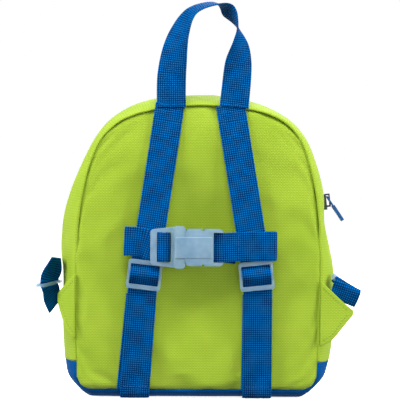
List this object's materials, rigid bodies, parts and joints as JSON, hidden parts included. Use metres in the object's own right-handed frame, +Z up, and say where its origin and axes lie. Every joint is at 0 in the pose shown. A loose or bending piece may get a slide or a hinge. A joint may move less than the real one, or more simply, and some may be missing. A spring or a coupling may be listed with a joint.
{
  "type": "kids backpack",
  "caption": "Small soft child's backpack with an arched body, webbing shoulder straps, a fastened chest buckle, a grab handle, a zip over the top and side straps, standing on its base.",
  "frame": {"origin": "middle of the flat underside of the base", "axes": "+Z up, -Y out of the back panel that carries the straps, +X to the right of someone looking at that panel"},
  "size_m": [0.2819, 0.1245, 0.3429],
  "materials": {
    "green_cloth": "lime green woven polyester",
    "blue_cloth": "blue woven polyester",
    "blue_webbing": "blue ribbed webbing",
    "frosted_plastic": "frosted translucent plastic",
    "dark_zip": "dark painted"
  },
  "bodies": {
    "bag": {"back_panel": "green_cloth", "front_panel": "green_cloth", "back_gusset": "green_cloth", "front_gusset": "green_cloth", "side_tab_left": "green_cloth", "side_tab_right": "green_cloth", "base": "blue_cloth", "zip_tape": "blue_cloth", "shoulder_strap_left": "blue_webbing", "shoulder_strap_right": "blue_webbing", "strap_tail_left": "blue_webbing", "strap_tail_right": "blue_webbing", "grab_handle": "blue_webbing", "chest_strap_left": "blue_webbing", "chest_strap_right": "blue_webbing", "side_strap_left": "blue_webbing", "side_strap_right": "blue_webbing", "strap_slider_left": "frosted_plastic", "strap_slider_right": "frosted_plastic", "buckle_male": "frosted_plastic", "buckle_female": "frosted_plastic", "side_ring_left": "frosted_plastic", "side_ring_right": "frosted_plastic", "zip_slider": "dark_zip"},
    "pull": {"zip_pull": "blue_webbing"}
  },
  "joints": [
    {"name": "zip_pull_swing", "type": "hinge", "parent": "bag", "child": "pull", "pos_m": [0.11517, -0.00199, 0.17451], "axis": [0, -1, 0], "range_deg": [-4, 110]}
  ]
}
